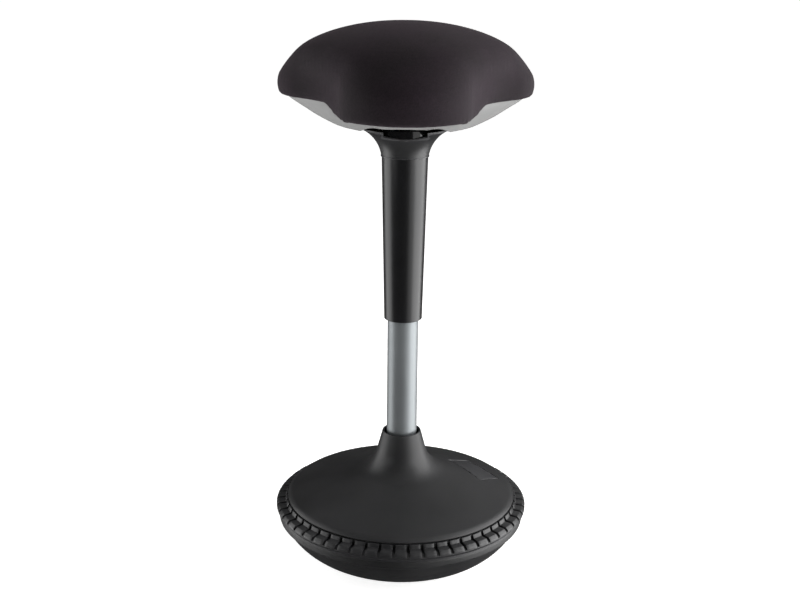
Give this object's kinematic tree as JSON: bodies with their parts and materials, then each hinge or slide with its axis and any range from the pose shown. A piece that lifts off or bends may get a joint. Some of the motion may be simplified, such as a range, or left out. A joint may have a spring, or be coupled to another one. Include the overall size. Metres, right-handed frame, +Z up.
{
  "type": "perch stool",
  "caption": "Height-adjustable perch stool with a three-lobed padded seat, a gas-spring column under a tapered sleeve and a weighted, domed rocking foot.",
  "frame": {"origin": "middle of the foot's flat patch, on the floor and on the column's axis", "axes": "+Z up along the column, the seat's front lobe and the trigger window towards -Y"},
  "size_m": [0.356, 0.367, 0.7577],
  "materials": {
    "foot_rubber": "matt moulded rubber",
    "ring_rubber": "satin moulded rubber",
    "ballast_iron": "as cast, black paint",
    "plate_steel": "black powder coat",
    "cover_plastic": "fine moulded grain",
    "zinc_steel": "zinc plated",
    "tube_silver": "satin silver lacquer",
    "bearing_steel": "ground",
    "guide_plastic": "moulded acetal",
    "cylinder_black": "black lacquer",
    "rod_chrome": "ground and plated",
    "bumper_rubber": "matt",
    "valve_brass": "turned",
    "sleeve_black": "satin black",
    "collar_black": "fine moulded grain",
    "trigger_gloss": "gloss black",
    "seat_ply": "raw plywood",
    "foam": "moulded foam",
    "seat_cloth": "knitted, dark aubergine black",
    "pan_grey": "moulded, mid grey"
  },
  "bodies": {
    "base": {"rubber_foot": "foot_rubber", "ballast_weight": "ballast_iron", "base_plate": "plate_steel", "foot_screws": "zinc_steel", "tread_ring": "ring_rubber", "base_cover": "cover_plastic", "cover_screws": "zinc_steel", "column_socket": "plate_steel", "socket_bolts": "zinc_steel", "socket_washers": "zinc_steel", "column_tube": "tube_silver", "guide_bushing": "guide_plastic", "tube_end_cap": "plate_steel", "lower_race": "bearing_steel"},
    "ball_cage": {"bearing_cage": "guide_plastic", "bearing_balls": "bearing_steel"},
    "spindle": {"upper_race": "bearing_steel", "piston_rod": "rod_chrome", "rod_clip": "zinc_steel", "clip_washer": "zinc_steel", "travel_bumper": "bumper_rubber", "piston": "guide_plastic", "piston_ring": "bumper_rubber", "piston_nut": "zinc_steel"},
    "seat": {"gas_cylinder": "cylinder_black", "rod_guide": "guide_plastic", "glide_ring": "guide_plastic", "valve_body": "valve_brass", "tapered_sleeve": "sleeve_black", "collar": "collar_black", "collar_screws": "zinc_steel", "seat_bracket": "plate_steel", "taper_socket": "plate_steel", "pivot_ears": "plate_steel", "pivot_pin": "zinc_steel", "trigger_spring": "zinc_steel", "seat_board": "seat_ply", "t_nuts": "zinc_steel", "bracket_bolts": "zinc_steel", "bracket_washers": "zinc_steel", "seat_foam": "foam", "seat_cover": "seat_cloth", "seat_pan": "pan_grey", "pan_screws": "zinc_steel"},
    "trigger": {"release_trigger": "trigger_gloss"},
    "valve": {"valve_button": "bearing_steel"}
  },
  "joints": [
    {"name": "swivel", "type": "hinge", "parent": "base", "child": "spindle", "pos_m": [0, 0, 0.0624], "axis": [0, 0, 1], "continuous": true},
    {"name": "cage_roll", "type": "hinge", "parent": "base", "child": "ball_cage", "pos_m": [0, 0, 0.0616], "axis": [0, 0, 1], "continuous": true},
    {"name": "height", "type": "slide", "parent": "spindle", "child": "seat", "axis": [0, 0, 1], "range_m": [-0.155, 0.075]},
    {"name": "release", "type": "hinge", "parent": "seat", "child": "trigger", "pos_m": [0, -0.015, 0.641], "axis": [-1, 0, 0], "range_deg": [0, 10], "stiffness_Nm_per_rad": 0.6, "springref_deg": -2.86},
    {"name": "valve_press", "type": "slide", "parent": "seat", "child": "valve", "axis": [0, 0, -1], "range_m": [0, 0.0028]}
  ],
  "couplings": [
    {"joint": "cage_roll", "follows": "swivel", "ratio": 0.5},
    {"joint": "valve_press", "follows": "release", "m_per_rad": 0.015}
  ]
}
